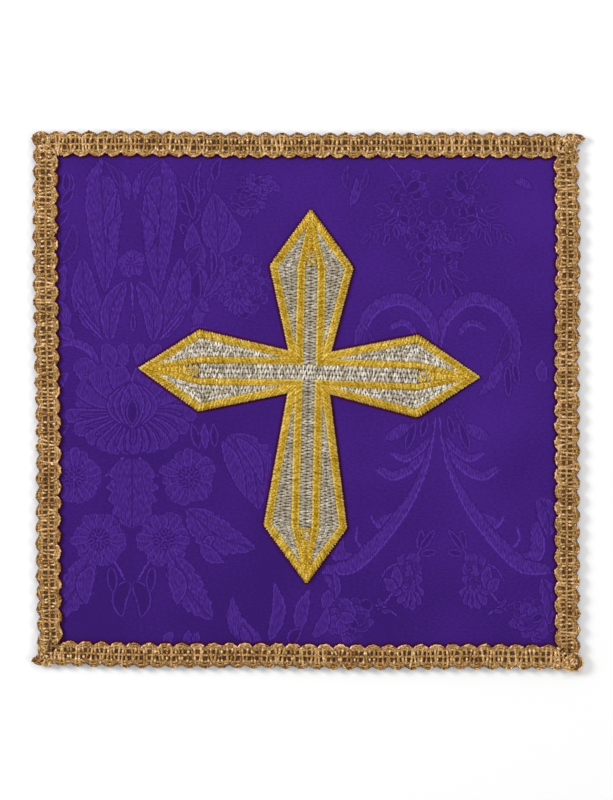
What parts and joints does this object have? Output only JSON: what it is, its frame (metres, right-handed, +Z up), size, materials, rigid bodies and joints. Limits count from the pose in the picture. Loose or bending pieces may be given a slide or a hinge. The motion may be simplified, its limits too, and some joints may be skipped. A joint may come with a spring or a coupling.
{
  "type": "small chalice veil",
  "caption": "Small square chalice veil laid flat: violet floral damask, scalloped gold gimp braid at the edge, embroidered gold and silver cross with pointed arms.",
  "frame": {"origin": "on the surface that the veil lies on, under the middle of its braided edge", "axes": "+Z up out of the cloth's face, +Y towards the top arm of the cross, +X to the right when the cross is upright"},
  "size_m": [0.1766, 0.1728, 0.0032],
  "materials": {
    "violet_damask": "satin damask, matt ground with glossier figures",
    "gimp_braid": "metallic copper-gold gimp cord",
    "silver_thread": "metallic silver embroidery thread",
    "gold_thread": "metallic gold satin stitch"
  },
  "bodies": {
    "root": {"damask_panel": "violet_damask", "braid_top": "gimp_braid", "braid_right": "gimp_braid", "braid_bottom": "gimp_braid", "braid_left": "gimp_braid", "silver_cross_fill": "silver_thread", "gold_cross_border": "gold_thread"}
  },
  "joints": []
}
